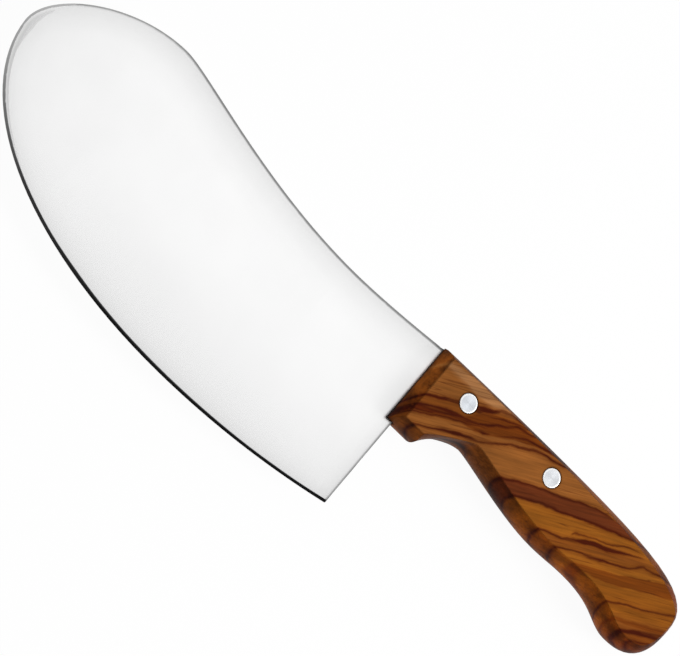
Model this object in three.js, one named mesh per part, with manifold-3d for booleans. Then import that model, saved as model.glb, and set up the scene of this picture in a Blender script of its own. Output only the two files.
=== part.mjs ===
// One-handed mezzaluna: a wide rocking blade on a single wooden handle, held by two rivets.
// Millimetres, +Z up. The knife lies on its side: +X runs from the blade's tip to the butt of the
// handle, and +Y from the cutting edge to the spine. Stations are measured along X from the handle's
// front, and drops along Y down from the handle's back.

import * as THREE from 'three';
import { mergeVertices } from 'three/addons/utils/BufferGeometryUtils.js';
import Module from 'manifold-3d';

// Blade outline
const BLADE_LENGTH = 181.1;
const TIP_DROP = 19.5;
const CROWN_STATION = 131.5;
const CROWN_RISE = 10.9;
const HOLLOW_STATION = 40;
const HOLLOW_DROP = 2.9;
const BELLY_STATION = 72;
const BELLY_DROP = 73.2;
const HEEL_INSET = 2;
const HEEL_LEAN = 1.8;
const HEEL_DROP = 65.6;

// Blade section: flat ground from the back to the edge, then sharpened
const BLADE_THICKNESS = 2;
const GROUND_THICKNESS = 0.5;
const EDGE_LAND = 0.04;
const EDGE_HALF_ANGLE = THREE.MathUtils.degToRad(17);
const EDGE_RUN_OUT = 8;

// Half tang
const TANG_HEIGHT = 17.6;
const TANG_SETBACK = 0.5;
const TANG_END_MARGIN = 16;
const TANG_CORNER = 5;
const TANG_CLEARANCE = 0.1;
const SLOT_CLEARANCE = 0.3;

// Handle outline
const HANDLE_LENGTH = 119.9;
const BACK_CROWN = 0.45;
const BACK_CROWN_STATION = 45;
const BUTT_DROP = 14.5;
const BEAK_SETBACK = 13.1;
const BEAK_DROP = 31.9;
const WAIST_SETBACK = 37.8;
const WAIST_DROP = 26.3;
const GRIP_SETBACK = 52.6;
const GRIP_DROP = 26.9;
const NOTCH_STATION = 27;
const NOTCH_DROP = 20.5;
const GUARD_STATION = 11;
const GUARD_DROP = 30.6;
const FRONT_RAKE = 1.3;

// Handle section: full at mid-thickness, drawn in towards the flats, more so along the back of the butt
// and hardly at all where the finger notch is cut square behind the guard
const HANDLE_THICKNESS = 16;
const SIDE_DRAW_IN = 2.6;
const BUTT_DRAW_IN = 2.4;
const NOTCH_DRAW_IN = 0.6;

// Two-part rivets
const FRONT_RIVET_STATION = 15.5;
const FRONT_RIVET_DROP = 10.1;
const REAR_RIVET_STATION = 53.8;
const REAR_RIVET_DROP = 8.5;
const RIVET_HEAD_RADIUS = 3.2;
const RIVET_HEAD_DEPTH = 1.6;
const RIVET_HEAD_EDGE = 0.2;
const POST_RADIUS = 1.4;
const SOCKET_WALL = 0.6;
const PRESS_CLEARANCE = 0.1;
const HOLE_CLEARANCE = 0.15;
const HEAD_RECESS = 0.05;
const RIVET_END_GAP = 0.4;

// Fullness of the outlines' curves: the share of the way to the next turning point along which a curve
// keeps the direction that it has at this one
const HEEL_FULLNESS = 0.5;
const BELLY_FULLNESS = 0.605;
const TIP_FULLNESS = 0.565;
const TIP_TOP_FULLNESS = 0.42;
const CROWN_FULLNESS = 0.48;
const CROWN_BACK_FULLNESS = 0.12;
const HOLLOW_FULLNESS = 0.47;
const SPINE_FULLNESS = 0.38;
const BACK_FULLNESS = 0.74;
const BUTT_TOP_FULLNESS = 0.92;
const BUTT_FULLNESS = 0.72;
const BEAK_FULLNESS = 0.77;
const BEAK_FRONT_FULLNESS = 0.31;
const WAIST_FULLNESS = 0.62;
const GRIP_FULLNESS = 0.45;
const GRIP_FRONT_FULLNESS = 0.37;
const NOTCH_FULLNESS = 0.12;
const NOTCH_FRONT_FULLNESS = 0.4;
const GUARD_FULLNESS = new THREE.Vector2(0.2, 0.55);

// Faceting
const BLADE_CURVE_STEPS = 32;
const HANDLE_CURVE_STEPS = 14;
const SIDE_STEPS = 5;
const RIVET_STEPS = 40;

// Margins by which a cutter passes the material that it cuts, and the sharpened plate the sheet's faces
const CUT_MARGIN = 5;
const PLATE_MARGIN = 0.1;

const wasm = await Module();
wasm.setup();

// Solid for cutting and joining, from a closed geometry
function solidOf(geometry) {
  const bare = geometry.clone();
  bare.deleteAttribute('normal');
  bare.deleteAttribute('uv');
  const merged = mergeVertices(bare);
  return new wasm.Manifold(new wasm.Mesh({
    numProp: 3,
    vertProperties: merged.attributes.position.array,
    triVerts: Uint32Array.from(merged.index.array),
  }));
}

function geometryOf(solid) {
  const { vertProperties, triVerts } = solid.getMesh();
  const geometry = new THREE.BufferGeometry();
  geometry.setAttribute('position', new THREE.BufferAttribute(vertProperties, 3));
  geometry.setIndex(new THREE.BufferAttribute(triVerts, 1));
  geometry.computeVertexNormals();
  return geometry;
}

// Block that fills the space between two corners
function blockBetween(low, high) {
  const size = high.clone().sub(low);
  const centre = low.clone().add(high).multiplyScalar(0.5);
  const geometry = new THREE.BoxGeometry(size.x, size.y, size.z);
  return solidOf(geometry.translate(centre.x, centre.y, centre.z));
}

// Round bar along Z, centred on the XY plane
function barAt(place, radius, length) {
  const geometry = new THREE.CylinderGeometry(radius, radius, length, RIVET_STEPS);
  return solidOf(geometry.rotateX(Math.PI / 2).translate(place.x, place.y, 0));
}

const level = (share) => new THREE.Vector2(share, 0);
const upright = (share) => new THREE.Vector2(0, share);

// Curve to the next turning point: leave and arrive are the shares of the way, along X and Y, at which
// the curve starts and stops bending
function sweepTo(path, end, leave, arrive) {
  const start = path.currentPoint.clone();
  const way = end.clone().sub(start);
  const first = start.clone().add(way.clone().multiply(leave));
  const second = end.clone().sub(way.clone().multiply(arrive));
  path.bezierCurveTo(first.x, first.y, second.x, second.y, end.x, end.y);
}

const frontRivet = new THREE.Vector2(FRONT_RIVET_STATION, -FRONT_RIVET_DROP);
const rearRivet = new THREE.Vector2(REAR_RIVET_STATION, -REAR_RIVET_DROP);
const rivetPlaces = [frontRivet, rearRivet];
const socketRadius = POST_RADIUS + PRESS_CLEARANCE + SOCKET_WALL;
const holeRadius = socketRadius + HOLE_CLEARANCE;
const halfHandle = HANDLE_THICKNESS / 2;
const halfBlade = BLADE_THICKNESS / 2;

const heel = new THREE.Vector2(HEEL_INSET - HEEL_LEAN, -HEEL_DROP);
const belly = new THREE.Vector2(-BELLY_STATION, -BELLY_DROP);
const tip = new THREE.Vector2(-BLADE_LENGTH, -TIP_DROP);
const crown = new THREE.Vector2(-CROWN_STATION, CROWN_RISE);
const hollow = new THREE.Vector2(-HOLLOW_STATION, -HOLLOW_DROP);
const tangEnd = REAR_RIVET_STATION + TANG_END_MARGIN;
const tangTop = -TANG_SETBACK;
const tangBottom = tangTop - TANG_HEIGHT;

// Cutting edge, from the heel round the tip to the top of the blade
function traceEdge(path, top) {
  const heelBend = THREE.MathUtils.lerp(heel.x, belly.x, HEEL_FULLNESS);
  path.quadraticCurveTo(heelBend, belly.y, belly.x, belly.y);
  sweepTo(path, tip, level(BELLY_FULLNESS), upright(TIP_FULLNESS));
  sweepTo(path, top, upright(TIP_TOP_FULLNESS), level(CROWN_FULLNESS));
}

// Blade and tang as they are stamped from the sheet
function bladeBlank() {
  const outline = new THREE.Shape();
  outline.moveTo(heel.x, heel.y);
  traceEdge(outline, crown);
  sweepTo(outline, hollow, level(CROWN_BACK_FULLNESS), level(HOLLOW_FULLNESS));
  const spineBend = THREE.MathUtils.lerp(hollow.x, 0, SPINE_FULLNESS);
  outline.quadraticCurveTo(spineBend, hollow.y, 0, tangTop);
  outline.absarc(tangEnd - TANG_CORNER, tangTop - TANG_CORNER, TANG_CORNER, Math.PI / 2, 0, true);
  outline.absarc(tangEnd - TANG_CORNER, tangBottom + TANG_CORNER, TANG_CORNER, 0, -Math.PI / 2, true);
  outline.lineTo(HEEL_INSET, tangBottom);
  const sheet = { depth: BLADE_THICKNESS, bevelEnabled: false, curveSegments: BLADE_CURVE_STEPS };
  return solidOf(new THREE.ExtrudeGeometry(outline, sheet).translate(0, 0, -halfBlade));
}

// Plate whose rim is sharpened along the cutting edge. Past the tip it lifts off the spine, so that the
// bevel runs out there, and behind the heel it runs straight on
function sharpenedPlate() {
  const depth = halfBlade - EDGE_LAND / 2 + PLATE_MARGIN;
  const slope = depth / Math.tan(EDGE_HALF_ANGLE);
  const heelRise = (heel.y - belly.y) / ((heel.x - belly.x) * HEEL_FULLNESS);
  const reach = tangEnd + slope + CUT_MARGIN;
  const outline = new THREE.Shape();
  outline.moveTo(reach, heel.y + (reach - heel.x) * heelRise);
  outline.lineTo(heel.x, heel.y);
  traceEdge(outline, crown.clone().add(new THREE.Vector2(0, EDGE_RUN_OUT)));
  outline.lineTo(reach, crown.y + slope);
  const rim = {
    depth: EDGE_LAND,
    bevelThickness: depth,
    bevelSize: slope,
    bevelOffset: -slope,
    bevelSegments: 1,
    curveSegments: BLADE_CURVE_STEPS,
  };
  return solidOf(new THREE.ExtrudeGeometry(outline, rim).translate(0, 0, -EDGE_LAND / 2));
}

// What grinding takes off one face (side 1 is the upper face, -1 the lower). It runs out in the handle,
// just past the heel
function groundAway(side) {
  const fall = (BLADE_THICKNESS - GROUND_THICKNESS) / 2;
  const end = HEEL_INSET + SLOT_CLEARANCE;
  const length = end + BLADE_LENGTH + CUT_MARGIN;
  const width = BELLY_DROP + CUT_MARGIN;
  const stone = new THREE.BoxGeometry(length, width, CUT_MARGIN);
  stone.translate(end - length / 2, -width / 2, CUT_MARGIN / 2);
  stone.rotateX(Math.atan2(fall, BELLY_DROP));
  stone.translate(0, 0, halfBlade);
  const solid = solidOf(stone);
  return side > 0 ? solid : solid.mirror([0, 0, 1]);
}

function bladeSolid() {
  let solid = bladeBlank().intersect(sharpenedPlate());
  solid = solid.subtract(groundAway(1)).subtract(groundAway(-1));
  for (const place of rivetPlaces) {
    solid = solid.subtract(barAt(place, holeRadius, BLADE_THICKNESS + CUT_MARGIN));
  }
  return solid;
}

// Handle outline, from the front's upper corner along the back, round the butt and back under the grip
function handleOutline() {
  const backCrown = new THREE.Vector2(BACK_CROWN_STATION, BACK_CROWN);
  const butt = new THREE.Vector2(HANDLE_LENGTH, -BUTT_DROP);
  const beak = new THREE.Vector2(HANDLE_LENGTH - BEAK_SETBACK, -BEAK_DROP);
  const waist = new THREE.Vector2(HANDLE_LENGTH - WAIST_SETBACK, -WAIST_DROP);
  const grip = new THREE.Vector2(HANDLE_LENGTH - GRIP_SETBACK, -GRIP_DROP);
  const notch = new THREE.Vector2(NOTCH_STATION, -NOTCH_DROP);
  const guard = new THREE.Vector2(GUARD_STATION, -GUARD_DROP);
  const outline = new THREE.Shape();
  outline.moveTo(0, 0);
  outline.quadraticCurveTo(backCrown.x / 2, backCrown.y, backCrown.x, backCrown.y);
  sweepTo(outline, butt, level(BACK_FULLNESS), upright(BUTT_TOP_FULLNESS));
  sweepTo(outline, beak, upright(BUTT_FULLNESS), level(BEAK_FULLNESS));
  sweepTo(outline, waist, level(BEAK_FRONT_FULLNESS), level(WAIST_FULLNESS));
  sweepTo(outline, grip, level(GRIP_FULLNESS), level(GRIP_FULLNESS));
  sweepTo(outline, notch, level(GRIP_FRONT_FULLNESS), level(NOTCH_FULLNESS));
  sweepTo(outline, guard, level(NOTCH_FRONT_FULLNESS), GUARD_FULLNESS);
  outline.lineTo(-FRONT_RAKE, -GUARD_DROP);
  return outline.getPoints(HANDLE_CURVE_STEPS).reverse();
}

// Direction that moves both edges at an outline point inwards by one unit
function inwardAt(before, point, after) {
  const arriving = point.clone().sub(before).normalize();
  const leaving = after.clone().sub(point).normalize();
  const first = new THREE.Vector2(-arriving.y, arriving.x);
  const second = new THREE.Vector2(-leaving.y, leaving.x);
  return first.clone().add(second).divideScalar(1 + first.dot(second));
}

// Handle block: rings of the outline, drawn in as the square of their distance from mid-thickness
function handleBlock() {
  const outline = handleOutline();
  const count = outline.length;
  const inward = outline.map((point, i) => inwardAt(outline.at(i - 1), point, outline[(i + 1) % count]));
  const drawIn = outline.map((point, i) => {
    const facingBack = Math.max(0, -inward[i].y);
    const towardsButt = Math.max(0, point.x / HANDLE_LENGTH) ** 2;
    const alongNotch = THREE.MathUtils.inverseLerp(GUARD_STATION, NOTCH_STATION, point.x);
    const inNotch = facingBack > 0 ? 0 : Math.sin(Math.PI * THREE.MathUtils.clamp(alongNotch, 0, 1));
    const side = THREE.MathUtils.lerp(SIDE_DRAW_IN, NOTCH_DRAW_IN, inNotch);
    return side + BUTT_DRAW_IN * facingBack * towardsButt;
  });
  const positions = [];
  const triangles = [];
  for (let step = -SIDE_STEPS; step <= SIDE_STEPS; step += 1) {
    const share = step / SIDE_STEPS;
    outline.forEach((point, i) => {
      const drawn = point.clone().addScaledVector(inward[i], drawIn[i] * share ** 2);
      positions.push(drawn.x, drawn.y, halfHandle * share);
    });
  }
  const topRing = 2 * SIDE_STEPS * count;
  for (let ring = 0; ring < topRing; ring += count) {
    for (let i = 0; i < count; i += 1) {
      const next = (i + 1) % count;
      triangles.push(ring + i, ring + next, ring + count + next);
      triangles.push(ring + i, ring + count + next, ring + count + i);
    }
  }
  const flat = outline.map((point, i) => point.clone().addScaledVector(inward[i], drawIn[i]));
  for (const [a, b, c] of THREE.ShapeUtils.triangulateShape(flat, [])) {
    triangles.push(c, b, a);
    triangles.push(topRing + a, topRing + b, topRing + c);
  }
  const geometry = new THREE.BufferGeometry();
  geometry.setAttribute('position', new THREE.Float32BufferAttribute(positions, 3));
  geometry.setIndex(triangles);
  return solidOf(geometry);
}

function handleSolid() {
  const slotHalf = halfBlade + TANG_CLEARANCE;
  const front = -FRONT_RAKE - CUT_MARGIN;
  const back = BACK_CROWN + CUT_MARGIN;
  const tangSlot = blockBetween(
    new THREE.Vector3(front, tangBottom - SLOT_CLEARANCE, -slotHalf),
    new THREE.Vector3(tangEnd + SLOT_CLEARANCE, back, slotHalf),
  );
  const heelSlot = blockBetween(
    new THREE.Vector3(front, -GUARD_DROP - CUT_MARGIN, -slotHalf),
    new THREE.Vector3(HEEL_INSET + SLOT_CLEARANCE, back, slotHalf),
  );
  let solid = handleBlock().subtract(tangSlot).subtract(heelSlot);
  const seatDepth = RIVET_HEAD_DEPTH + HEAD_RECESS + HOLE_CLEARANCE;
  const seatRadius = RIVET_HEAD_RADIUS + HOLE_CLEARANCE;
  for (const place of rivetPlaces) {
    const throughHole = barAt(place, holeRadius, HANDLE_THICKNESS + CUT_MARGIN);
    const headSeats = barAt(place, seatRadius, HANDLE_THICKNESS + CUT_MARGIN)
      .subtract(barAt(place, seatRadius + CUT_MARGIN, HANDLE_THICKNESS - 2 * seatDepth));
    solid = solid.subtract(throughHole).subtract(headSeats);
  }
  return solid;
}

// Outer face and rim of a rivet head, from the axis out and back down to its underside
function headProfile() {
  const face = halfHandle - HEAD_RECESS;
  return [
    new THREE.Vector2(0, face),
    new THREE.Vector2(RIVET_HEAD_RADIUS - RIVET_HEAD_EDGE, face),
    new THREE.Vector2(RIVET_HEAD_RADIUS, face - RIVET_HEAD_EDGE),
    new THREE.Vector2(RIVET_HEAD_RADIUS, face - RIVET_HEAD_DEPTH),
  ];
}

// Turned piece about Z from a profile that starts and ends on the axis
function turned(profile) {
  const points = profile.toReversed();
  return new THREE.LatheGeometry(points, RIVET_STEPS).rotateX(Math.PI / 2);
}

const underHead = halfHandle - HEAD_RECESS - RIVET_HEAD_DEPTH;

// Solid half: its shank fills the socket's bore
function postGeometry() {
  const shankEnd = -underHead + RIVET_END_GAP;
  return turned([
    ...headProfile(),
    new THREE.Vector2(POST_RADIUS, underHead),
    new THREE.Vector2(POST_RADIUS, shankEnd),
    new THREE.Vector2(0, shankEnd),
  ]);
}

// Hollow half: its tube passes through handle and tang, down to the post's head
function socketGeometry() {
  const boreRadius = POST_RADIUS + PRESS_CLEARANCE;
  const tubeEnd = -underHead + RIVET_END_GAP;
  return turned([
    ...headProfile(),
    new THREE.Vector2(socketRadius, underHead),
    new THREE.Vector2(socketRadius, tubeEnd),
    new THREE.Vector2(boreRadius, tubeEnd),
    new THREE.Vector2(boreRadius, underHead),
    new THREE.Vector2(0, underHead),
  ]);
}

function named(name, geometry, material) {
  const mesh = new THREE.Mesh(geometry, material);
  mesh.name = name;
  return mesh;
}

const steel = { color: 0xdfe1e3, roughness: 0.22, metalness: 1 };
const oliveWood = { color: 0x9a6230, roughness: 0.45, metalness: 0 };
const aluminium = { color: 0xd6dae0, roughness: 0.35, metalness: 1 };

const knife = new THREE.Group();
knife.add(named('blade', geometryOf(bladeSolid()), new THREE.MeshStandardMaterial(steel)));
knife.add(named('handle', geometryOf(handleSolid()), new THREE.MeshStandardMaterial(oliveWood)));

for (const [end, place] of [['front', frontRivet], ['rear', rearRivet]]) {
  const rivet = new THREE.Group();
  rivet.position.set(place.x, place.y, 0);
  const socket = named(`${end}_rivet_socket`, socketGeometry(), new THREE.MeshStandardMaterial(aluminium));
  const post = named(`${end}_rivet_post`, postGeometry(), new THREE.MeshStandardMaterial(aluminium));
  post.rotation.x = Math.PI;
  rivet.add(socket, post);
  knife.add(rivet);
}

// The origin is under the middle of the knife, on the surface that it lies on
const extent = new THREE.Box3().setFromObject(knife);
const middle = extent.getCenter(new THREE.Vector3());
knife.position.set(-middle.x, -middle.y, -extent.min.z);

export default knife;
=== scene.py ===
import math

import bmesh
import bpy
from mathutils import Matrix, Vector
from mathutils.kdtree import KDTree


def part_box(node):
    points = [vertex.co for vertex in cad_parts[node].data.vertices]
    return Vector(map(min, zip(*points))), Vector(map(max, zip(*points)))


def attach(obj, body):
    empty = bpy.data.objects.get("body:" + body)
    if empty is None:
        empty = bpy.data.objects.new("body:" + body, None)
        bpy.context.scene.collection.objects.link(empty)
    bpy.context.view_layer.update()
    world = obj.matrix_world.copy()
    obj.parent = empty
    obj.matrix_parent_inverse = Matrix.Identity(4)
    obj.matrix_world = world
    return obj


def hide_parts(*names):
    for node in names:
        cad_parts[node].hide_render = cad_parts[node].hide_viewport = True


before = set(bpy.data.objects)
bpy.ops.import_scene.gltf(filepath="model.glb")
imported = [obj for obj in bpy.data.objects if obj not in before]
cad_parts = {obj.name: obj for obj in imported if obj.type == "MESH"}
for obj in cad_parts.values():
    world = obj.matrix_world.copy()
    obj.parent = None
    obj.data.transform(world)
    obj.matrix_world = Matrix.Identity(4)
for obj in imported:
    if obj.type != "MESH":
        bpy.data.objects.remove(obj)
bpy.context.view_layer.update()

# Blade: one stamped stainless sheet with its half tang, ground thin towards the edge, satin finished
# and then honed. The tang lies in the handle's slot, where the two rivets hold it.
MM = 0.001
MERGE = 0.001 * MM
SLIVER = 0.001 * MM * MM
FLAT_ANGLE = math.radians(0.05)
SMOOTH_ANGLE = math.radians(35)
LARGE_FACES_FIRST = 100
BLADE_ROUND = 0.22 * MM
BLADE_ROUND_STEPS = 3
SHEET_EDGE_DEPTH = 0.5 * MM
SHEET_EDGE_TURN = math.radians(50)
HONED_TILT = (math.radians(8), math.radians(30))
HEEL_LEAST_X = 0.9
RIM_MOST_Z = 0.3
RIM_SAMPLE = 0.5 * MM
TANG_BACK_DEPTH = 2.5 * MM
FACE_GRID = 4 * MM


def only(piece):
    """Makes a piece the one that is selected and active."""
    bpy.ops.object.select_all(action="DESELECT")
    piece.select_set(True)
    bpy.context.view_layer.objects.active = piece


def start_edit(piece):
    """Edit mode on this piece alone, with nothing selected."""
    only(piece)
    bpy.ops.object.mode_set(mode="EDIT")
    bpy.ops.mesh.select_mode(type="EDGE")
    bpy.ops.mesh.select_all(action="DESELECT")


def pick(piece, kind, wanted):
    """Selects the edges or the faces that are wanted, and nothing else."""
    bpy.ops.mesh.select_mode(type=kind)
    bpy.ops.mesh.select_all(action="DESELECT")
    shape = bmesh.from_edit_mesh(piece.data)
    parts = shape.faces if kind == "FACE" else shape.edges
    for part in filter(wanted, parts):
        part.select_set(True)
    bmesh.update_edit_mesh(piece.data)


def turn_at(edge):
    """Angle between an edge's two faces."""
    return edge.calc_face_angle(0.0)


def middle_of(edge):
    return (edge.verts[0].co + edge.verts[1].co) / 2


def copy_of(node_name, name):
    """A new piece with a node's shape: its loose triangles merged and its flat areas made whole."""
    piece = bpy.data.objects.new(name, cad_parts[node_name].data.copy())
    bpy.context.scene.collection.objects.link(piece)
    piece.data.materials.clear()
    start_edit(piece)
    bpy.ops.mesh.customdata_custom_splitnormals_clear()
    bpy.ops.mesh.select_all(action="SELECT")
    bpy.ops.mesh.remove_doubles(threshold=MERGE)
    bpy.ops.mesh.dissolve_limited(angle_limit=FLAT_ANGLE)
    bpy.ops.object.mode_set(mode="OBJECT")
    return piece


def smooth(piece):
    """Smooth shading, broken at the edges that are sharp or marked so, with flat areas kept flat."""
    only(piece)
    bpy.ops.object.shade_smooth_by_angle(angle=SMOOTH_ANGLE, keep_sharp_edges=True)
    weighted = piece.modifiers.new("weighted", "WEIGHTED_NORMAL")
    weighted.weight = LARGE_FACES_FIRST
    weighted.keep_sharp = True
    bpy.ops.object.modifier_apply(modifier=weighted.name)


blade_low, blade_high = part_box("blade")
handle_low, handle_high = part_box("handle")
blade_mid = (blade_low.z + blade_high.z) / 2
blade = copy_of("blade", "satin_blade")
corners = [vertex.co.copy() for vertex in blade.data.vertices]
tip_point = min(corners, key=lambda place: place.x)
heel_point = max((place for place in corners if place.y < handle_low.y), key=lambda place: place.x)


def outside_handle(place):
    return place.x < handle_low.x or place.y < handle_low.y


def honed(face):
    """A face of the sharpened band along the cutting edge."""
    tilt = math.acos(min(1.0, abs(face.normal.z)))
    return HONED_TILT[0] < tilt < HONED_TILT[1]


def hone_border(edge):
    """An edge with a honed face on one side only."""
    return len({honed(face) for face in edge.link_faces}) == 2


def sheet_edge(edge):
    """An edge between a face of the sheet and its stamped rim, outside the handle and off the hone."""
    place = middle_of(edge)
    at_heel = any(face.normal.x > HEEL_LEAST_X for face in edge.link_faces)
    by_face = abs(place.z - blade_mid) > SHEET_EDGE_DEPTH or at_heel
    by_hone = any(map(honed, edge.link_faces))
    return outside_handle(place) and by_face and turn_at(edge) > SHEET_EDGE_TURN and not by_hone


def rim_edge(edge):
    """An edge of the sheet's upright rim, outside the handle or on the tang's back. Slivers don't count."""
    place = middle_of(edge)
    shown = outside_handle(place) or place.y > handle_high.y - TANG_BACK_DEPTH
    return shown and any(
        abs(face.normal.z) < RIM_MOST_Z and face.calc_area() > SLIVER for face in edge.link_faces
    )


# The stamped edges are rounded off
start_edit(blade)
pick(blade, "EDGE", sheet_edge)
bpy.ops.mesh.bevel(offset=BLADE_ROUND, segments=BLADE_ROUND_STEPS, affect="EDGES")
bpy.ops.object.mode_set(mode="OBJECT")

# The faces are cut into a grid, and each vertex keeps its distance from the rim for the steel's painted
# shade
start_edit(blade)
rim_points = []
for edge in filter(rim_edge, bmesh.from_edit_mesh(blade.data).edges):
    start, end = (vertex.co for vertex in edge.verts)
    samples = max(1, round(edge.calc_length() / RIM_SAMPLE))
    rim_points += [start.lerp(end, sample / samples).xy.to_3d() for sample in range(samples)]
for axis in (Vector((1, 0, 0)), Vector((0, 1, 0))):
    reach = (blade_high - blade_low).dot(axis)
    for step in range(1, math.ceil(reach / FACE_GRID)):
        bpy.ops.mesh.select_all(action="SELECT")
        bpy.ops.mesh.bisect(plane_co=blade_low + axis * step * FACE_GRID, plane_no=axis)
bpy.ops.mesh.select_all(action="SELECT")
bpy.ops.mesh.dissolve_degenerate(threshold=MERGE)
pick(blade, "EDGE", hone_border)
bpy.ops.mesh.mark_sharp()
bpy.ops.object.mode_set(mode="OBJECT")

rim_tree = KDTree(len(rim_points))
for index, point in enumerate(rim_points):
    rim_tree.insert(point, index)
rim_tree.balance()
rim_mm = blade.data.attributes.new("rim_mm", "FLOAT", "POINT")
for vertex in blade.data.vertices:
    _, _, from_rim = rim_tree.find(vertex.co.xy.to_3d())
    rim_mm.data[vertex.index].value = from_rim / MM


def node(tree, kind, inputs=None, **settings):
    """A shader node with its settings, and its inputs set or linked."""
    made = tree.nodes.new(kind)
    for name, value in settings.items():
        setattr(made, name, value)
    for name, value in (inputs or {}).items():
        if isinstance(value, bpy.types.NodeSocket):
            tree.links.new(value, made.inputs[name])
        else:
            made.inputs[name].default_value = value
    return made


def new_material(name):
    """A material with an empty tree."""
    material = bpy.data.materials.new(name)
    material.use_nodes = True
    material.node_tree.nodes.clear()
    return material, material.node_tree


def surface(tree, inputs):
    """The Principled shader with its inputs set or linked, and the material's output."""
    shader = node(tree, "ShaderNodeBsdfPrincipled", inputs)
    node(tree, "ShaderNodeOutputMaterial", {"Surface": shader.outputs[0]})


def new_group(name, inputs, outputs):
    """A node group with inputs of the named kinds and plain number outputs, and what it is given."""
    group = bpy.data.node_groups.new(name, "ShaderNodeTree")
    for label, kind in inputs.items():
        group.interface.new_socket(label, in_out="INPUT", socket_type="NodeSocket" + kind)
    for label in outputs:
        group.interface.new_socket(label, in_out="OUTPUT", socket_type="NodeSocketFloat")
    return group, node(group, "NodeGroupInput").outputs


def math_of(tree, operation, first, second=0.0):
    made = node(tree, "ShaderNodeMath", {0: first, 1: second}, operation=operation)
    return made.outputs[0]


def times(tree, first, second):
    return math_of(tree, "MULTIPLY", first, second)


def scaled(tree, vector, factors):
    made = node(tree, "ShaderNodeVectorMath", {0: vector, 1: factors}, operation="MULTIPLY")
    return made.outputs[0]


def split(tree, vector):
    """X, Y and Z of a vector."""
    return node(tree, "ShaderNodeSeparateXYZ", {0: vector}).outputs


def in_millimetres(tree, origin=Vector(), turn=Matrix.Identity(3)):
    """The piece's coordinates in millimetres, from an origin in metres and turned."""
    mapping = node(tree, "ShaderNodeMapping", {
        "Vector": node(tree, "ShaderNodeTexCoord").outputs["Object"],
        "Location": -(turn @ (origin / MM)),
        "Rotation": turn.to_euler(),
        "Scale": (1 / MM, 1 / MM, 1 / MM),
    })
    return mapping.outputs[0]


def ranged(tree, value, given, wanted):
    """A value brought from a given range to a wanted one, held at its ends."""
    made = node(tree, "ShaderNodeMapRange", {
        "Value": value, "From Min": given[0], "From Max": given[1], "To Min": wanted[0], "To Max": wanted[1],
    })
    return made.outputs[0]


def noise(tree, vector, cells, detail=2.0, roughness=0.5):
    """Soft noise with a number of cells per millimetre along each axis."""
    made = node(tree, "ShaderNodeTexNoise", {
        "Vector": scaled(tree, vector, cells), "Scale": 1.0, "Detail": detail, "Roughness": roughness,
    })
    return made.outputs[0]


def opaque(colour):
    """A colour, or a grey tone, with full alpha."""
    return (*colour, 1.0) if isinstance(colour, tuple) else (colour, colour, colour, 1.0)


def ramp_over(tree, distance, span, stops):
    """Colours or grey tones along a distance, from (place, colour) stops within the span."""
    made = node(tree, "ShaderNodeValToRGB", {"Fac": math_of(tree, "DIVIDE", distance, span)})
    ramp = made.color_ramp
    ramp.elements.remove(ramp.elements[-1])
    for index, (place, colour) in enumerate(stops):
        element = ramp.elements[0] if index == 0 else ramp.elements.new(place / span)
        element.position = place / span
        element.color = opaque(colour)
    return made.outputs["Color"]


def mixed(tree, share, first, second, blend_type="MIX"):
    """A colour with a share of a second one over it. The node's inputs 6 and 7 are its two colours."""
    made = node(
        tree, "ShaderNodeMix", {0: share, 6: first, 7: second}, data_type="RGBA", blend_type=blend_type,
    )
    return made.outputs[2]


def tinted(tree, colour, share, tint):
    """A colour with a share of a plain colour or grey tone over it."""
    return mixed(tree, share, colour, opaque(tint))


def multiplied(tree, colour, factor):
    """A colour times a factor or another colour."""
    return mixed(tree, 1.0, colour, factor, "MULTIPLY")


def shaded(tree, colour, value, given, shade):
    """A colour made lighter or darker as a value goes through a range."""
    return multiplied(tree, colour, ranged(tree, value, given, shade))


def grinding_lines():
    """Group: fine lines left by a belt or a lathe, long along X of the given coordinates, in millimetres."""
    group, given = new_group(
        "grinding_lines", {"Vector": "Vector", "Lines per mm": "Float", "Length": "Float"}, ["Lines"],
    )
    along = math_of(group, "DIVIDE", 1.0, given["Length"])
    across = given["Lines per mm"]
    cells = node(group, "ShaderNodeCombineXYZ", {"X": along, "Y": across, "Z": across})
    lines = noise(group, given["Vector"], cells.outputs[0], detail=3.0, roughness=0.65)
    node(group, "NodeGroupOutput", {"Lines": lines})
    return group


lines_group = grinding_lines()


def ground(tree, vector, lines_per_mm, length):
    """The lines of a ground surface, along X of the given coordinates."""
    made = node(
        tree, "ShaderNodeGroup", {"Vector": vector, "Lines per mm": lines_per_mm, "Length": length},
        node_tree=lines_group,
    )
    return made.outputs["Lines"]


# Satin steel. Distances from the rim, the tip and the heel are in millimetres.
ACROSS_BLADE = Matrix.Rotation(math.radians(-90), 3, "Z")
NOISE_BAND = (0.3, 0.7)
RIM_SPAN = 16
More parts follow.
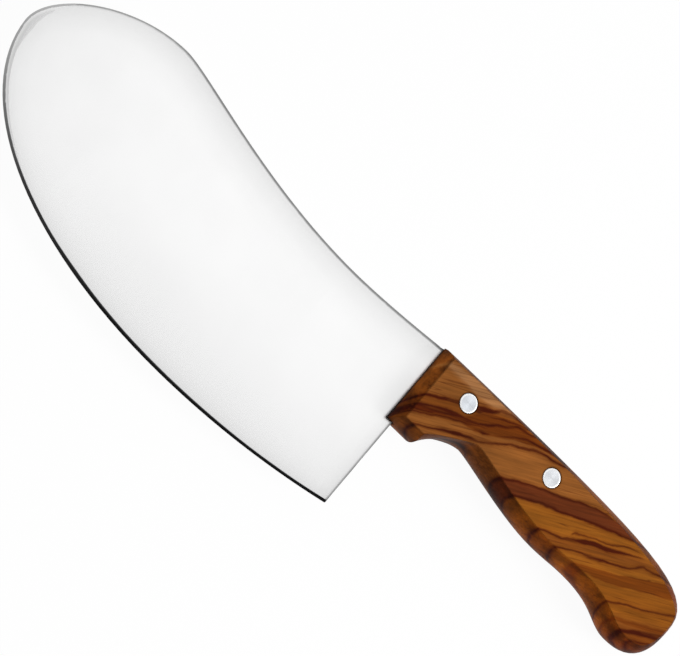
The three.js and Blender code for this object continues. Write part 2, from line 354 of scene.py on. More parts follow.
# Painted shade: the steel's tone falls towards its rim, at the spine, the heel, the tip and the edge.
SPINE_PAINTED_SHADE = [(0, 0.12), (0.4, 0.24), (0.7, 0.34), (1.1, 0.75), (4, 0.81), (9, 0.87), (15, 0.90)]
END_PAINTED_SHADE = [(0, 0.2), (0.4, 0.36), (0.7, 0.77), (4, 0.82), (9, 0.88), (15, 0.90)]
EDGE_PAINTED_SHADE = [
    (0, 0.18), (0.5, 0.33), (0.88, 0.75), (1.3, 0.82), (3, 0.86), (5, 0.888), (9, 0.91), (15, 0.915),
]
HEEL_LEAN = math.radians(2.17)
HEEL_BAND = (-1.8, -1.3)
TIP_FADE = (30, 62)
EDGE_FADE = (-14, 0)
BLADE_SPAN = 260
EDGE_LINE_PAINTED_SHADE = 0.03
LINE_BORDER = (0.9, 1.15)
LINE_WIDENED = [(45, 0), (66, 0.38), (90, 0.24), (115, 0.18), (150, 0)]
LINE_FADE = (160, 170)
CRESCENT_PAINTED_REFLECTION = 0.68
CRESCENT_FOOT = 20
CRESCENT_SPAN = 40
CRESCENT_WIDTH = 4.0
CRESCENT_SHAPE = [(3, 0), (9, 0.46), (14, 0.7), (19, 0.85), (23, 0.78), (28, 0.52), (33, 0)]
CRESCENT_BORDER = (-0.2, 0.25)
CRESCENT_FADE = (30, 40)
SATIN_LINES = 6.0
SATIN_LENGTH = 30.0
SATIN_SHADE = (0.985, 1.01)
SATIN_CLOUDS = (0.045, 0.045, 0.045)
SATIN_ROUGH = (0.22, 0.24)
RIM_BAND = (0.3, 1.0)
RIM_ROUGH = (0.25, 0.0)
SATIN_BUMP = 0.01
SATIN_DEPTH = 0.02 * MM


def satin_steel():
    """Pale steel with painted shade: greyer at its rim, a dark painted line by the edge, and a grey crescent
    of painted reflection inside the tip.
    """
    material, tree = new_material("satin_steel")
    belt = in_millimetres(tree, turn=ACROSS_BLADE)
    lines = ground(tree, belt, SATIN_LINES, SATIN_LENGTH)
    rim = node(tree, "ShaderNodeAttribute", attribute_name="rim_mm").outputs["Fac"]
    from_tip, above_tip, _ = split(tree, in_millimetres(tree, tip_point))
    from_heel, _, _ = split(tree, in_millimetres(tree, heel_point, Matrix.Rotation(HEEL_LEAN, 3, "Z")))

    at_heel = ranged(tree, from_heel, HEEL_BAND, (0, 1))
    at_ends = math_of(tree, "MAXIMUM", at_heel, ranged(tree, from_tip, TIP_FADE, (1, 0)))
    by_edge = ranged(tree, above_tip, EDGE_FADE, (1, 0))
    spine_shade = ramp_over(tree, rim, RIM_SPAN, SPINE_PAINTED_SHADE)
    tone = mixed(tree, at_ends, spine_shade, ramp_over(tree, rim, RIM_SPAN, END_PAINTED_SHADE))
    tone = mixed(tree, by_edge, tone, ramp_over(tree, rim, RIM_SPAN, EDGE_PAINTED_SHADE))

    # A dark painted shade along the cutting edge, wider along the belly.
    past_line = math_of(tree, "SUBTRACT", rim, ramp_over(tree, from_tip, BLADE_SPAN, LINE_WIDENED))
    line = ranged(tree, past_line, LINE_BORDER, (1, 0))
    line = times(tree, line, ranged(tree, from_tip, LINE_FADE, (1, 0)))
    tone = tinted(tree, tone, times(tree, line, by_edge), EDGE_LINE_PAINTED_SHADE)

    # A grey crescent of painted reflection inside the tip, above the hone.
    above_foot = math_of(tree, "ADD", above_tip, CRESCENT_FOOT)
    width = times(tree, ramp_over(tree, above_foot, CRESCENT_SPAN, CRESCENT_SHAPE), CRESCENT_WIDTH)
    crescent = ranged(tree, math_of(tree, "SUBTRACT", rim, width), CRESCENT_BORDER, (1, 0))
    crescent = times(tree, crescent, ranged(tree, from_tip, CRESCENT_FADE, (1, 0)))
    tone = tinted(tree, tone, crescent, CRESCENT_PAINTED_REFLECTION)

    rough = ranged(tree, noise(tree, belt, SATIN_CLOUDS), NOISE_BAND, SATIN_ROUGH)
    bump = node(tree, "ShaderNodeBump", {"Height": lines, "Strength": SATIN_BUMP, "Distance": SATIN_DEPTH})
    surface(tree, {
        "Base Color": shaded(tree, tone, lines, NOISE_BAND, SATIN_SHADE),
        "Metallic": 1.0,
        "Roughness": math_of(tree, "ADD", rough, ranged(tree, rim, RIM_BAND, RIM_ROUGH)),
        "Normal": bump.outputs[0],
    })
    return material


# Honed steel, in millimetres from the rim and the tip as well
# The hone's tones are painted reflections: bright at the tip and above it, dark along the belly.
HONE_PAINTED_REFLECTION = [(0, 0.54), (5, 0.53), (12, 0.38), (20, 0.25), (34, 0.1), (80, 0.025)]
UPPER_HONE_PAINTED_REFLECTION = 0.55
UPPER_FADE = (0, 8)
# A painted highlight: the shoulder above the hone is made near white, as a bright ridge.
SHOULDER_PAINTED_HIGHLIGHT = [(1.0, 0.98), (1.3, 0.98), (1.5, 0.9)]
SHOULDER_BORDER = (0.85, 1.05)
HONE_WIDENED = [(20, 0), (35, 0.1), (68, 0.38), (101, 0.4), (148, 0.15)]
TIP_NARROWED = (0, 0.22)
NARROWED_FADE = (-15, -6)
HONE_LINES = 9.0
HONE_LENGTH = 4.0
HONE_SHADE = (0.93, 1.0)
HONE_BORDER = (0.8, 1.1)
HONE_ROUGH = (0.22, 0.75)


def honed_steel():
    """The sharpened band with painted reflections, bright at the tip and dark along the edge, and a painted
    highlight on the shoulder above it.
    """
    material, tree = new_material("honed_steel")
    lines = ground(tree, in_millimetres(tree, turn=ACROSS_BLADE), HONE_LINES, HONE_LENGTH)
    rim = node(tree, "ShaderNodeAttribute", attribute_name="rim_mm").outputs["Fac"]
    from_tip, above_tip, _ = split(tree, in_millimetres(tree, tip_point))
    hone_reflection = ramp_over(tree, from_tip, BLADE_SPAN, HONE_PAINTED_REFLECTION)
    hone_reflection = tinted(tree, hone_reflection, ranged(tree, above_tip, UPPER_FADE, (0, 1)), UPPER_HONE_PAINTED_REFLECTION)
    past_hone = math_of(tree, "SUBTRACT", rim, ramp_over(tree, from_tip, BLADE_SPAN, HONE_WIDENED))
    past_hone = math_of(tree, "ADD", past_hone, ranged(tree, above_tip, NARROWED_FADE, TIP_NARROWED))
    at_shoulder = ranged(tree, past_hone, SHOULDER_BORDER, (0, 1))
    tone = mixed(tree, at_shoulder, hone_reflection, ramp_over(tree, rim, RIM_SPAN, SHOULDER_PAINTED_HIGHLIGHT))
    surface(tree, {
        "Base Color": shaded(tree, tone, lines, NOISE_BAND, HONE_SHADE),
        "Metallic": 1.0,
        "Roughness": ranged(tree, past_hone, HONE_BORDER, HONE_ROUGH),
    })
    return material


blade.data.materials.append(satin_steel())
blade.data.materials.append(honed_steel())
start_edit(blade)
pick(blade, "FACE", honed)
blade.active_material_index = 1
bpy.ops.object.material_slot_assign()
bpy.ops.object.mode_set(mode="OBJECT")
smooth(blade)
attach(blade, "root")
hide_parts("blade")

# Handle: one block of olive wood, sawn for the tang, shaped with a guard corner, a finger notch and a
# drooping butt, sanded and oiled. Its long edges are eased with paper.
CREST_TURN = math.radians(20)
CREST_EASE = 0.15 * MM
CREST_EASE_STEPS = 3
CORNER_TURN = math.radians(40)
CORNER_EASE = 0.1 * MM
CORNER_EASE_STEPS = 2
SEAT_REACH = 3.6 * MM
BUTT_WEIGHT = 1.5


def axis_of(node_name):
    """The middle of a node's box, through which its axis runs."""
    low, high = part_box(node_name)
    return (low + high) / 2


rivet_axes = [axis_of("front_rivet_socket"), axis_of("rear_rivet_socket")]


def by_rivet(place):
    return any((place - axis).xy.length < SEAT_REACH for axis in rivet_axes)


def on_flat(vertex):
    return min(abs(vertex.co.z - handle_low.z), abs(vertex.co.z - handle_high.z)) < MERGE


def crest(edge):
    """An edge between a flat of the handle and its side."""
    return all(map(on_flat, edge.verts)) and turn_at(edge) > CREST_TURN and not by_rivet(middle_of(edge))


def small_corner(edge):
    """Any other outward corner: the front's ends, the guard, the slot's mouth and the rivet seats."""
    return edge.is_convex and turn_at(edge) > CORNER_TURN


handle = copy_of("handle", "olive_handle")
start_edit(handle)
pick(handle, "EDGE", crest)
bpy.ops.mesh.bevel(offset=CREST_EASE, segments=CREST_EASE_STEPS, affect="EDGES")
pick(handle, "EDGE", small_corner)
bpy.ops.mesh.bevel(offset=CORNER_EASE, segments=CORNER_EASE_STEPS, affect="EDGES")
bpy.ops.object.mode_set(mode="OBJECT")
smooth(handle)
# Painted shade is weighted onto the faces turned towards the key light: the back and, more, the butt.
lamp_facing_shade = handle.data.attributes.new("lamp_facing_shade", "FLOAT", "POINT")
for vertex in handle.data.vertices:
    lamp_facing_shade.data[vertex.index].value = max(0.0, vertex.normal.y, vertex.normal.x * BUTT_WEIGHT)

# Figure of the wood, in millimetres along the fibre and down through the growth layers. A streak runs
# through points of (place along the fibre, depth, half width), and noise has cells per millimetre.
FIBRE = Vector((0.891, 0.454, 0.0))
LAYER_NORMAL = Vector((-0.409, 0.803, -0.434))
FRONT_INSET = 1.23 * MM
BACK_INSET = 1.77 * MM
FIBRES_BEFORE = 30
FIBRES_LONG = 140
LAYERS_DEEP = 72
BEND_CELLS = (0.15, 0.12, 0.25)
BEND_BAND = (0.2, 0.8)
LAYER_BEND = (-0.5, 0.5)
PAINTED_SHEEN = (0.42, 0.2, 0.08)
LIGHT = (0.268, 0.091, 0.018)
GOLD = (0.282, 0.09, 0.0085)
AMBER = (0.252, 0.076, 0.0065)
MID = (0.21, 0.06, 0.008)
BROWN = (0.15, 0.032, 0.002)
RED = (0.122, 0.026, 0.006)
DARK = (0.06, 0.007, 0.001)
GROWTH_LAYERS = [
    (0, LIGHT), (12.6, LIGHT), (14.6, MID), (19, MID), (20.2, LIGHT), (31, LIGHT), (37, GOLD), (42, GOLD),
    (45, MID), (48, GOLD), (55, AMBER), (60, AMBER), (63, MID), (70, BROWN),
]
# A painted highlight: this pale streak near the front of the flats is a sheen of light, not a layer of the
# wood.
PAINTED_SHEEN_STREAKS = [
    [(-6, 2, 0), (8, 6.5, 1.4), (13, 8.8, 2), (18, 10.6, 1.4), (23, 12, 0.6), (28, 13.6, 0)],
]
BROWN_STREAKS = [
    [(8, 18.5, 0.6), (14, 18.2, 2.8), (20, 17.6, 3.4), (28, 17.6, 2.4), (36, 19, 1.2), (44, 21, 0.5)],
    [(58, 50.2, 0.7), (72, 51.4, 1.7), (87, 50.8, 1.9), (100, 50.4, 2.2)],
    [(74, 61.9, 0.4), (86, 62.6, 0.7), (98, 62.3, 0.7)],
]
RED_STREAKS = [
    [(15, 33.4, 2.2), (36, 33.6, 2.1), (52, 34.4, 2.2), (64, 35.2, 2), (72, 36.4, 1.5), (80, 38.4, 0.5)],
]
DARK_STREAKS = [
    [(-20, 15.5, 0.5), (-5, 14.1, 0.5), (5, 13.6, 0.6), (14, 14.2, 1), (19, 13.7, 0.6), (22, 13, 0.4),
     (26, 13.5, 0.3), (33, 15.8, 0.3)],
    [(-20, 18.6, 1.4), (-6, 18, 1.2), (4, 17.4, 1), (9, 18.1, 0.7), (15, 18.6, 0.4), (22, 17.3, 0.4),
     (29, 16.4, 0.5), (34, 17.4, 0.3)],
    [(-20, 20, 0.4), (-6, 19.6, 0.3), (4, 18.9, 0.25), (10, 19.2, 0.3), (20, 19, 0)],
    [(13, 20.3, 0), (17, 20.6, 0.5), (20, 20.4, 0)],
    [(17, 15.7, 0), (24, 15, 0.3), (30, 15.9, 0.2)],
    [(21, 20.3, 0), (26, 19.6, 0.2), (33, 18.9, 0.3), (37, 19.5, 0.4), (42, 20.8, 0.5)],
    [(-20, 23.5, 0.4), (-2, 23.2, 0.3), (7, 22.9, 0.6), (13, 23, 0.5), (16, 23.4, 0.25), (28, 21.7, 0.35),
     (36, 21.2, 0.45), (48, 23.5, 0.35)],
    [(20, 31.6, 0.5), (37, 31.4, 0.35), (47, 32, 0.35), (62, 32.9, 0.4), (67, 33.8, 0.3), (70, 34.6, 0)],
    [(20, 35.6, 0.5), (37, 35.5, 0.35), (47, 36.1, 0.4), (57, 36.8, 0.4), (67, 37.6, 0.5), (80, 38.8, 0.3)],
    [(55.5, 42.2, 0), (57, 41.3, 0.2), (64, 41.3, 0.15), (71, 41.9, 0.2), (77, 41.3, 0.2), (84, 42.2, 0)],
    [(36, 43.3, 0.5), (46, 43.1, 0.3), (53, 43.9, 0.3), (57, 43.3, 0.6), (62, 42.9, 0.8), (70, 43.5, 0.7),
     (84, 43.3, 0)],
    [(44, 47.2, 0.4), (58, 46.5, 0.25), (68, 47.3, 0.4), (79, 46.9, 0.3), (84, 45.6, 0.2), (91, 46.8, 0.3)],
    [(66, 58.8, 0.4), (76, 58, 0.25), (81, 57.4, 0.25), (86, 57.8, 0.2), (98, 57.1, 0.3)],
    [(72, 65.9, 0.6), (82, 65, 0.6), (90, 64.3, 0.8), (98, 64, 0.8)],
    [(78, 67, 0.3), (88, 67.2, 0.3), (95, 66.5, 0.2)],
]
WIDEST_STREAK = 4
THINNEST_STREAK = 0.1
STREAK_SOFTNESS = 0.3
HALO_REACH = 1.3
PAINTED_SHEEN_SHARE = 0.32
BROWN_SHARE = 0.85
HALO_SHARE = 0.4
BREAK_CELLS = (0.1, 0.9, 0.9)
BREAK_BAND = (0.3, 0.5)
BROKEN_SHARE = (0.6, 1.0)
VEIN_CELLS = (0.016, 0.3, 0.3)
VEIN_CONTOURS = 6.0
VEIN_FOLD = 0.5
VEIN_BAND = (0.0, 0.1)
VEIN_SHARE = (0.55, 0.0)
VEIN_PATCHES = (0.05, 0.12, 0.12)
VEIN_PATCH_BAND = (0.42, 0.56)


def wood_streak():
    """Group: share of a streak, and of the halo round it, at a depth. Its course is a colour that holds
    the streak's own depth and half width, as shares of the deepest and the widest."""
    group, given = new_group("wood_streak", {"Course": "Color", "Depth": "Float"}, ["Share", "Halo"])
    course = node(group, "ShaderNodeSeparateColor", {0: given["Course"]}).outputs
    middle = times(group, course[0], LAYERS_DEEP)
    half = times(group, course[1], WIDEST_STREAK)
    away = math_of(group, "ABSOLUTE", math_of(group, "SUBTRACT", given["Depth"], middle))
    inside = math_of(group, "SUBTRACT", half, STREAK_SOFTNESS)
    outside = math_of(group, "ADD", half, STREAK_SOFTNESS)
    halo_end = math_of(group, "ADD", half, HALO_REACH)
    present = ranged(group, half, (0, THINNEST_STREAK), (0, 1))
    node(group, "NodeGroupOutput", {
        "Share": times(group, ranged(group, away, (inside, outside), (1, 0)), present),
        "Halo": times(group, ranged(group, away, (half, halo_end), (1, 0)), present),
    })
    return group


streak_group = wood_streak()


def streaks(tree, along, depth, courses):
    """Shares of the strongest of some streaks and of their halos."""
    share, halo = 0.0, 0.0
    for points in courses:
        stops = [
            (place + FIBRES_BEFORE, (deep / LAYERS_DEEP, half / WIDEST_STREAK, 0.0))
            for place, deep, half in points
        ]
        course = ramp_over(tree, along, FIBRES_LONG, stops)
        made = node(tree, "ShaderNodeGroup", {"Course": course, "Depth": depth}, node_tree=streak_group)
        share = math_of(tree, "MAXIMUM", made.outputs["Share"], share)
        halo = math_of(tree, "MAXIMUM", made.outputs["Halo"], halo)
    return share, halo


def grown_figure(tree, grain):
    """Growth layers, bent a little, with their streaks, a painted sheen streak near the front, and fine
    veins in patches.
    """
    along, _, height = split(tree, grain)
    along = math_of(tree, "ADD", along, FIBRES_BEFORE)
    bend = ranged(tree, noise(tree, grain, BEND_CELLS, detail=4.0), BEND_BAND, LAYER_BEND)
    depth = math_of(tree, "SUBTRACT", bend, height)
    pale, sheen_halo = streaks(tree, along, depth, PAINTED_SHEEN_STREAKS)
    brown, _ = streaks(tree, along, depth, BROWN_STREAKS)
    red, _ = streaks(tree, along, depth, RED_STREAKS)
    dark, dark_halo = streaks(tree, along, depth, DARK_STREAKS)
    broken = ranged(tree, noise(tree, grain, BREAK_CELLS, detail=3.0), BREAK_BAND, BROKEN_SHARE)

    contours = times(tree, noise(tree, grain, VEIN_CELLS), VEIN_CONTOURS)
    veins = ranged(tree, math_of(tree, "PINGPONG", contours, VEIN_FOLD), VEIN_BAND, VEIN_SHARE)
    patches = ranged(tree, noise(tree, grain, VEIN_PATCHES), VEIN_PATCH_BAND, (0.0, 1.0))
    dark = math_of(tree, "MAXIMUM", times(tree, dark, broken), times(tree, veins, patches))

    figure = ramp_over(tree, depth, LAYERS_DEEP, GROWTH_LAYERS)
    pale = math_of(tree, "ADD", pale, sheen_halo)
    figure = tinted(tree, figure, times(tree, pale, PAINTED_SHEEN_SHARE), PAINTED_SHEEN)
    figure = tinted(tree, figure, times(tree, brown, BROWN_SHARE), BROWN)
    figure = tinted(tree, figure, times(tree, dark_halo, HALO_SHARE), BROWN)
    figure = tinted(tree, figure, red, RED)
    return tinted(tree, figure, dark, DARK)


# Painted shade and light on the wood, in millimetres from the rivets' axes and from the handle's front, low
# side and middle
FIBRE_CELLS = (0.08, 1.6, 1.6)
FIBRE_BAND = (0.3, 0.72)
FIBRE_SHADE = (1.16, 0.72)
CLOUD_CELLS = (0.04, 0.25, 0.25)
CLOUD_BAND = (0.35, 0.65)
CLOUD_SHADE = (1.12, 0.84)
SEAT_BAND = (3.3, 3.9)
SEAT_PAINTED_SHADE = (0.25, 1.0)
# Painted shade: the sides are made darker and redder than the flats, as they face away from the light.
SIDE_PAINTED_SHADE = (0.72, 0.56, 0.3)
BLOTCH_CELLS = (0.1, 0.22, 0.22)
BLOTCH_BAND = (0.36, 0.62)
BLOTCH_SHADE = (1.3, 0.62)
NOTCH_FADE = (30, 46)
NOTCH_SHADE = (1, 0.8)
BELLY_FADE = (52, 61)
BELLY_GAIN = (0, 0.8)
FLAT_BORDER = (7.55, 7.9)
LAMP_FACING_BAND = (0.15, 0.6)
LAMP_FACING_PAINTED_SHADE = (1.0, 0.5)
FRONT_BORDER = (2.0, 3.2)
SLOT_BAND = (1.2, 2.1)
SLOT_PAINTED_SHADE = (0.25, 1.0)
FRONT_RISE = (0.5, 20)
FRONT_PAINTED_LIGHT = (-0.12, 0.25)
WOOD_ROUGH = (0.38, 0.52)
WOOD_SPECULAR = 0.03
WOOD_BUMP = 0.12
WOOD_DEPTH = 0.05 * MM


def from_axis(tree, axis):
    """Millimetres from an upright axis."""
    flat = scaled(tree, in_millimetres(tree, axis), (1, 1, 0))
    return node(tree, "ShaderNodeVectorMath", {0: flat}, operation="LENGTH").outputs["Value"]


def finished(tree, figure, grain):
    """The figure with painted shade round the rivets, by the blade's slot, on the blotched sides and on the
    faces towards the key light, and a front face painted lighter towards its top.
    """
    # Painted shade round the rivet heads, where their seats leave a gap.
    for axis in rivet_axes:
        figure = shaded(tree, figure, from_axis(tree, axis), SEAT_BAND, SEAT_PAINTED_SHADE)
    low_corner = Vector((handle_low.x, handle_low.y, blade_mid))
    from_front, above_low, off_blade = split(tree, in_millimetres(tree, low_corner))
    off_blade = math_of(tree, "ABSOLUTE", off_blade)

    blotches = ranged(tree, noise(tree, grain, BLOTCH_CELLS, detail=3.0), BLOTCH_BAND, BLOTCH_SHADE)
    # The sides' painted shade is deeper by the notch and lighter towards the butt.
    side_shade_along = ranged(tree, from_front, NOTCH_FADE, NOTCH_SHADE)
    side_shade_along = math_of(tree, "ADD", side_shade_along, ranged(tree, from_front, BELLY_FADE, BELLY_GAIN))
    shaded_sides = multiplied(tree, multiplied(tree, figure, opaque(SIDE_PAINTED_SHADE)), times(tree, blotches, side_shade_along))
    figure = mixed(tree, ranged(tree, off_blade, FLAT_BORDER, (1, 0)), figure, shaded_sides)
    # Painted shade on the back and the butt, which the key light reaches most.
    lamp_facing = node(tree, "ShaderNodeAttribute", attribute_name="lamp_facing_shade").outputs["Fac"]
    figure = shaded(tree, figure, lamp_facing, LAMP_FACING_BAND, LAMP_FACING_PAINTED_SHADE)

    # Painted shade on the front face where it meets the blade, along the slot's mouth.
    behind_front = ranged(tree, from_front, FRONT_BORDER, (0, 1))
    slot_contact_shade = math_of(tree, "MAXIMUM", ranged(tree, off_blade, SLOT_BAND, SLOT_PAINTED_SHADE), behind_front)
    figure = multiplied(tree, figure, slot_contact_shade)
    # The front face is painted lighter towards its top and darker at its foot by the blade.
    on_front = ranged(tree, from_front, FRONT_BORDER, (1, 0))
    front_light = times(tree, ranged(tree, above_low, FRONT_RISE, FRONT_PAINTED_LIGHT), on_front)
    return multiplied(tree, figure, math_of(tree, "ADD", front_light, 1.0))


def olive_wood():
    """Oiled wood, its grain counted from the front upper corner of the flat."""
    material, tree = new_material("olive_wood")
    fibre = FIBRE.normalized()
    layers = LAYER_NORMAL.normalized()
    corner = Vector((handle_low.x + FRONT_INSET, handle_high.y - BACK_INSET, handle_high.z))
    grain = in_millimetres(tree, corner, Matrix((fibre, layers.cross(fibre), layers)))
    fibres = noise(tree, grain, FIBRE_CELLS, detail=4.0, roughness=0.6)
    figure = shaded(tree, grown_figure(tree, grain), fibres, FIBRE_BAND, FIBRE_SHADE)
    figure = shaded(tree, figure, noise(tree, grain, CLOUD_CELLS, detail=3.0), CLOUD_BAND, CLOUD_SHADE)
    bump = node(tree, "ShaderNodeBump", {"Height": fibres, "Strength": WOOD_BUMP, "Distance": WOOD_DEPTH})
    surface(tree, {
        "Base Color": finished(tree, figure, grain),
        "Roughness": ranged(tree, fibres, NOISE_BAND, WOOD_ROUGH),
        "Specular IOR Level": WOOD_SPECULAR,
        "Normal": bump.outputs[0],
    })
    return material


handle.data.materials.append(olive_wood())
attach(handle, "root")
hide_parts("handle")

# Rivets: two-part cutlery rivets of aluminium. The socket half and the post half are pressed together
# through handle and tang, and their heads are turned flush with the flats and polished.
RIVET_SIDES = 64
HEAD_DEPTH = 1.6 * MM
HEAD_ROUND = 0.16 * MM
HEAD_ROUND_STEPS = 3
DOME_RISE = 0.04 * MM
DOME_STEPS = (0.15, 0.21, 0.27)
TUBE_RADIUS = 2.1 * MM
BORE_RADIUS = 1.5 * MM
POST_RADIUS = 1.4 * MM
BORE_FLOOR = 0.4 * MM
END_LEAST_Z = 0.5


def rivet_half(node_name, name, hollow):
    """A head at the node's outer end, and a tube or a solid shank below it along the node's axis."""
    low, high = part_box(node_name)
    axis = axis_of(node_name)
    radius = (high.x - low.x) / 2
    upper = high.z - handle_low.z > handle_high.z - low.z
    face_z = high.z if upper else low.z
    inward = -1 if upper else 1
    shank_length = high.z - low.z - HEAD_DEPTH
    bpy.ops.object.select_all(action="DESELECT")
    bpy.ops.mesh.primitive_cylinder_add(
        vertices=RIVET_SIDES,
        radius=radius,
        depth=HEAD_DEPTH,
        location=(axis.x, axis.y, face_z + inward * HEAD_DEPTH / 2),
    )
    piece = bpy.context.object
    piece.name = name
    bpy.ops.object.transform_apply(location=True, rotation=True, scale=True)
    start_edit(piece)

    def outer_end(face):
        return face.normal.z * inward < -END_LEAST_Z and len(face.verts) == RIVET_SIDES

    def inner_end(face):
        return face.normal.z * inward > END_LEAST_Z and len(face.verts) == RIVET_SIDES

    def extrude(travel):
        bpy.ops.mesh.extrude_region_move(TRANSFORM_OT_translate={"value": (0, 0, inward * travel)})

    pick(piece, "FACE", inner_end)
    bpy.ops.mesh.inset(thickness=radius - (TUBE_RADIUS if hollow else POST_RADIUS))
    extrude(shank_length)
    if hollow:
        bpy.ops.mesh.inset(thickness=TUBE_RADIUS - BORE_RADIUS)
        extrude(BORE_FLOOR - shank_length)
    pick(piece, "EDGE", lambda edge: abs(middle_of(edge).z - face_z) < MERGE)
    bpy.ops.mesh.bevel(offset=HEAD_ROUND, segments=HEAD_ROUND_STEPS, affect="EDGES")
    for share in DOME_STEPS:
        pick(piece, "FACE", outer_end)
        bpy.ops.mesh.inset(thickness=radius * share)
        bpy.ops.transform.translate(value=(0, 0, -inward * DOME_RISE / len(DOME_STEPS)))
    bpy.ops.object.mode_set(mode="OBJECT")
    smooth(piece)
    return piece


def copied(piece, name, shift):
    """A copy of a piece with a mesh of its own, moved."""
    only(piece)
    bpy.ops.object.duplicate(linked=False)
    bpy.ops.transform.translate(value=shift)
    bpy.ops.object.transform_apply(location=True, rotation=True, scale=True)
    copy = bpy.context.object
    copy.name = name
    return copy


# Painted shade and highlights of the heads, in millimetres from the axis. The painted highlight fan is in
# turns round it.
# The heads' tones are painted shade, the front head darker than the rear.
FRONT_PAINTED_SHADE = (0.79, 0.825, 0.875)
REAR_PAINTED_SHADE = (0.87, 0.89, 0.92)
# A painted highlight: bright and dark sectors round the axis, as a turned face mirrors light.
PAINTED_FAN_HIGHLIGHT = [(0, 0.8), (0.25, 1.0), (0.5, 0.8), (0.75, 1.0), (1, 0.8)]
TURNED_LINES = 8.0
TURNED_LENGTH = 3.0
TURNED_ROUGH = (0.27, 0.33)
# A painted highlight ring near the edge of each head.
HIGHLIGHT_RING_BAND = (2.55, 2.85)
PAINTED_RING_HIGHLIGHT = 0.97
HEAD_RIM_BAND = (2.85, 3.05)
HEAD_RIM_ROUGH = (0.0, 0.7)


def polished_aluminium(name, axis, painted_tone):
    """Turned metal with painted shade, a painted highlight fan and ring, and a dull rim."""
    material, tree = new_material(name)
    around = in_millimetres(tree, axis)
    lines = ground(tree, around, TURNED_LINES, TURNED_LENGTH)
    off_axis = from_axis(tree, axis)
    fan = node(tree, "ShaderNodeTexGradient", {"Vector": around}, gradient_type="RADIAL").outputs["Fac"]
    turned = multiplied(tree, ramp_over(tree, fan, 1, PAINTED_FAN_HIGHLIGHT), opaque(painted_tone))
    rough = ranged(tree, lines, NOISE_BAND, TURNED_ROUGH)
    rim_rough = ranged(tree, off_axis, HEAD_RIM_BAND, HEAD_RIM_ROUGH)
    surface(tree, {
        "Base Color": tinted(tree, turned, ranged(tree, off_axis, HIGHLIGHT_RING_BAND, (0, 1)), PAINTED_RING_HIGHLIGHT),
        "Metallic": 1.0,
        "Roughness": math_of(tree, "MAXIMUM", rough, rim_rough),
    })
    return material


front_socket = rivet_half("front_rivet_socket", "front_rivet_upper_head", hollow=True)
front_post = rivet_half("front_rivet_post", "front_rivet_lower_head", hollow=False)
to_rear = axis_of("rear_rivet_socket") - axis_of("front_rivet_socket")
rear_socket = copied(front_socket, "rear_rivet_upper_head", to_rear)
rear_post = copied(front_post, "rear_rivet_lower_head", to_rear)
for piece, node_name, painted_tone in (
    (front_socket, "front_rivet_socket", FRONT_PAINTED_SHADE),
    (front_post, "front_rivet_post", FRONT_PAINTED_SHADE),
    (rear_socket, "rear_rivet_socket", REAR_PAINTED_SHADE),
    (rear_post, "rear_rivet_post", REAR_PAINTED_SHADE),
):
    piece.data.materials.append(polished_aluminium(piece.name + "_metal", axis_of(node_name), painted_tone))
    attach(piece, "root")
    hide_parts(node_name)

# Studio: the knife lies on a white table in a pale room that is brightest beyond the spine. A strip
# light is mirrored in the blade, and a soft lamp stands beyond the butt. The camera looks down from
# the side of the tip and the cutting edge.
TABLE_SIZE = 12.0
TABLE_CELLS = 8
TABLE_LIT = 0.9
TABLE_GLOW = 0.95
CAMERA_LENS = 1400.0
CAMERA_SENSOR = 36.0
CAMERA_REACH = 40.0
PICTURE_WIDTH = 680
PIXELS_PER_MM = 3.1214
VIEW_CENTRE = Vector((-1.62, 11.53, 8.0)) * MM
VIEW_TURN = math.radians(40.85)
VIEW_YAW = math.radians(26.99)
VIEW_PITCH = math.radians(0.81)
STRIP_AIM = (-50 * MM, 16 * MM)
STRIP_DISTANCE = 0.6
STRIP_SIZE = (0.28, 0.14)
STRIP_POWER = 0.078
KEY_SIDE = Vector((0.85, 0.12, 0.52))
KEY_DISTANCE = 1.4
KEY_SIZE = (0.5, 0.5)
KEY_POWER = 18.5
BRIGHT_SIDE = Vector((-0.34, 0.94, 0.0))
ROOM_BAND = (-0.35, 0.8)
ROOM_GLOW = (0.26, 0.95)


def white_table():
    """White to the eye and in mirrors, and plain diffuse for the light that it throws back."""
    material, tree = new_material("white_table")
    lit = node(tree, "ShaderNodeBsdfDiffuse", {"Color": opaque(TABLE_LIT)})
    white = node(tree, "ShaderNodeEmission", {"Color": opaque(1.0), "Strength": 1.0})
    ray = node(tree, "ShaderNodeLightPath").outputs
    seen = math_of(tree, "MAXIMUM", ray["Is Camera Ray"], ray["Is Glossy Ray"])
    seen = math_of(tree, "MAXIMUM", seen, ray["Is Transmission Ray"])
    top = node(tree, "ShaderNodeMixShader", {
        0: times(tree, seen, TABLE_GLOW), 1: lit.outputs[0], 2: white.outputs[0],
    })
    node(tree, "ShaderNodeOutputMaterial", {"Surface": top.outputs[0]})
    return material


def set_up(name, data, right, up, back, place):
    """A lamp or a camera at a place, with its own X, Y and Z along three directions."""
    made = bpy.data.objects.new(name, data)
    bpy.context.scene.collection.objects.link(made)
    turned = Matrix((right, up, back)).transposed().to_4x4()
    made.matrix_world = Matrix.Translation(place) @ turned
    return made


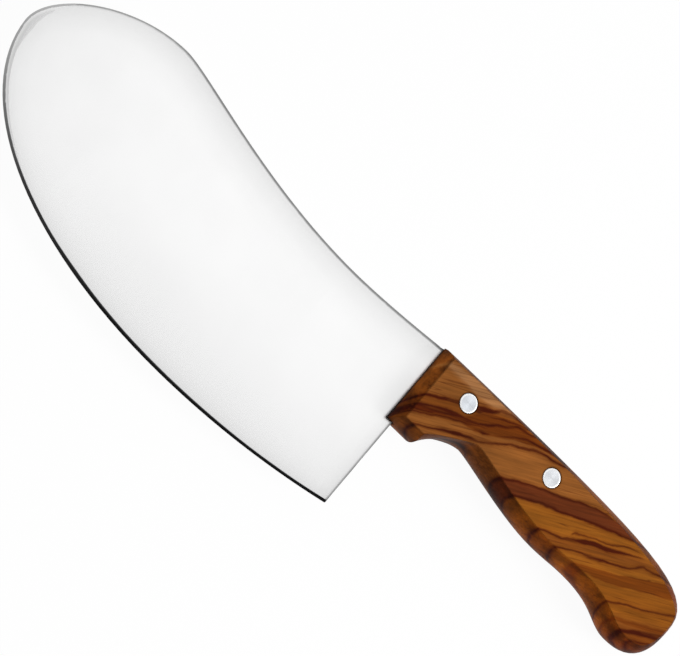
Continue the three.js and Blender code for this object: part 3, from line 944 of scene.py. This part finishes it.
def area_lamp(name, target, direction, distance, size, power):
    """A soft lamp beyond a target, turned towards it, with its longer side along the blade."""
    back = direction.normalized()
    along = (Vector((1, 0, 0)) - back * back.x).normalized()
    data = bpy.data.lights.new(name, "AREA")
    data.shape = "RECTANGLE"
    data.size, data.size_y = size
    data.energy = power
    set_up(name, data, along, back.cross(along), back, target + back * distance)


bpy.ops.object.select_all(action="DESELECT")
bpy.ops.mesh.primitive_grid_add(x_subdivisions=TABLE_CELLS, y_subdivisions=TABLE_CELLS, size=TABLE_SIZE)
table = bpy.context.object
table.name = "table_top"
table.data.materials.append(white_table())

cos_turn, sin_turn = math.cos(VIEW_TURN), math.sin(VIEW_TURN)
right = Vector((cos_turn * math.cos(VIEW_YAW), sin_turn * math.cos(VIEW_YAW), math.sin(VIEW_YAW)))
level_up = Vector((-sin_turn, cos_turn, 0.0))
up = Matrix.Rotation(VIEW_PITCH, 3, right) @ level_up
towards_camera = right.cross(up)
view_width = PICTURE_WIDTH / PIXELS_PER_MM * MM
camera_place = VIEW_CENTRE + towards_camera * (view_width * CAMERA_LENS / CAMERA_SENSOR)
camera_data = bpy.data.cameras.new("camera")
camera_data.lens = CAMERA_LENS
camera_data.sensor_width = CAMERA_SENSOR
camera_data.clip_end = CAMERA_REACH
bpy.context.scene.camera = set_up("camera", camera_data, right, up, towards_camera, camera_place)

strip_target = Vector((*STRIP_AIM, blade_high.z))
mirrored = Vector((-towards_camera.x, -towards_camera.y, towards_camera.z))
area_lamp("strip_light", strip_target, mirrored, STRIP_DISTANCE, STRIP_SIZE, STRIP_POWER)
area_lamp("key_light", Vector(), KEY_SIDE, KEY_DISTANCE, KEY_SIZE, KEY_POWER)
world = bpy.data.worlds.new("pale_room")
world.use_nodes = True
room = world.node_tree
heading = node(room, "ShaderNodeVectorMath", {
    0: node(room, "ShaderNodeTexCoord").outputs["Generated"], 1: BRIGHT_SIDE,
}, operation="DOT_PRODUCT")
glow = ranged(room, heading.outputs["Value"], ROOM_BAND, ROOM_GLOW)
room.links.new(glow, room.nodes["Background"].inputs["Strength"])
room.nodes["Background"].inputs["Color"].default_value = opaque(1.0)
bpy.context.scene.world = world
bpy.context.scene.view_settings.view_transform = "Standard"
